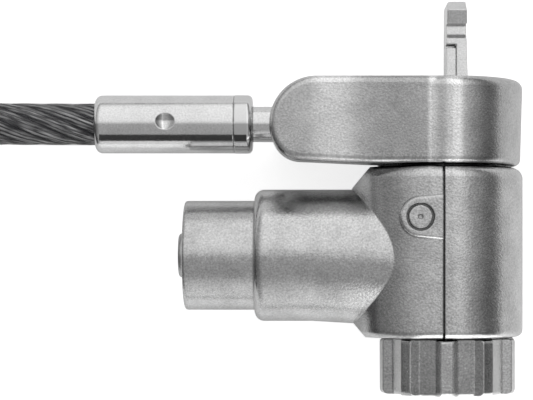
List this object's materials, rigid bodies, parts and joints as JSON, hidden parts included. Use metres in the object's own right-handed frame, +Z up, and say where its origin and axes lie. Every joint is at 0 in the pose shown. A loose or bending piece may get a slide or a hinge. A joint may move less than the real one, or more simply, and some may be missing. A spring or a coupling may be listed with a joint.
{
  "type": "laptop cable lock",
  "caption": "Laptop cable lock with a key barrel, swivel collar, ribbed thumb wheel, retracting hook and a coated steel cable with a loop.",
  "frame": {"origin": "under the middle of the lock, on the surface that its back lies on, measured without the free cable", "axes": "+Y towards the laptop, along the spindle; +X away from the key barrel; +Z up, out of the lock's front"},
  "size_m": [0.146, 0.096, 0.0233],
  "materials": {
    "satin_zinc": "satin nickel on cast zinc",
    "chrome": "bright nickel",
    "steel": "turned steel",
    "brass": "turned brass",
    "cable_jacket": "smoke coat over a twisted steel rope",
    "crimp_aluminium": "pressed",
    "strap": "woven"
  },
  "bodies": {
    "cable": {"cable_lead": "cable_jacket", "cable_coil": "cable_jacket", "end_sleeve": "crimp_aluminium", "end_eye": "cable_jacket", "coil_tie": "strap", "ferrule_tube": "chrome", "ferrule_ring": "chrome", "rope_end": "steel", "swivel_stud": "chrome"},
    "arm": {"collar_arm": "satin_zinc", "pivot_pin": "steel", "swivel_washer": "steel"},
    "housing": {"main_housing": "satin_zinc", "housing_cover": "satin_zinc", "neck_sleeve": "steel", "neck_pin": "steel", "cover_dowels": "steel", "travel_pin": "steel", "cylinder_spring": "steel", "spindle_bush": "brass"},
    "thumb_wheel": {"thumb_wheel": "satin_zinc", "drive_screw": "steel", "lock_gear": "steel", "wheel_screw": "steel"},
    "tongue": {"hook_blade": "chrome", "guide_bar": "chrome", "tongue_nut": "steel", "tongue_rivet": "steel"},
    "lock_cylinder": {"lock_cylinder": "satin_zinc", "core_retainer": "steel", "cylinder_end_cap": "steel", "lock_bolt": "steel"},
    "key_core": {"key_core": "steel", "disc_tumblers": "brass", "disc_spacers": "brass", "sidebar": "steel", "core_cam": "steel"},
    "latch": {"latch_bolt": "steel"}
  },
  "joints": [
    {"name": "cable_swivel", "type": "hinge", "parent": "cable", "child": "arm", "pos_m": [0.0005, 0.00865, 0.00885], "axis": [0, 0, 1], "range_deg": [-17, 90]},
    {"name": "collar_swivel", "type": "hinge", "parent": "arm", "child": "housing", "pos_m": [0.0163, 0.00865, 0.00885], "axis": [0, 1, 0], "continuous": true},
    {"name": "wheel_turn", "type": "hinge", "parent": "housing", "child": "thumb_wheel", "pos_m": [0.0163, -0.01935, 0.00885], "axis": [0, 1, 0], "range_deg": [0, 720]},
    {"name": "tongue_travel", "type": "slide", "parent": "housing", "child": "tongue", "axis": [0, 1, 0], "range_m": [-0.004, 0]},
    {"name": "cylinder_push", "type": "slide", "parent": "housing", "child": "lock_cylinder", "axis": [1, 0, 0], "range_m": [0, 0.005], "stiffness_N_per_m": 400, "springref_m": -0.002, "deforming": ["cylinder_spring"]},
    {"name": "core_turn", "type": "hinge", "parent": "lock_cylinder", "child": "key_core", "pos_m": [-0.0147, -0.00679, 0.00885], "axis": [1, 0, 0], "range_deg": [0, 90]},
    {"name": "latch_slide", "type": "slide", "parent": "lock_cylinder", "child": "latch", "axis": [0, -1, 0], "range_m": [0, 0.00065]}
  ],
  "couplings": [
    {"joint": "tongue_travel", "follows": "wheel_turn", "m_per_rad": -0.000318},
    {"joint": "latch_slide", "follows": "core_turn", "m_per_rad": 0.000413}
  ]
}
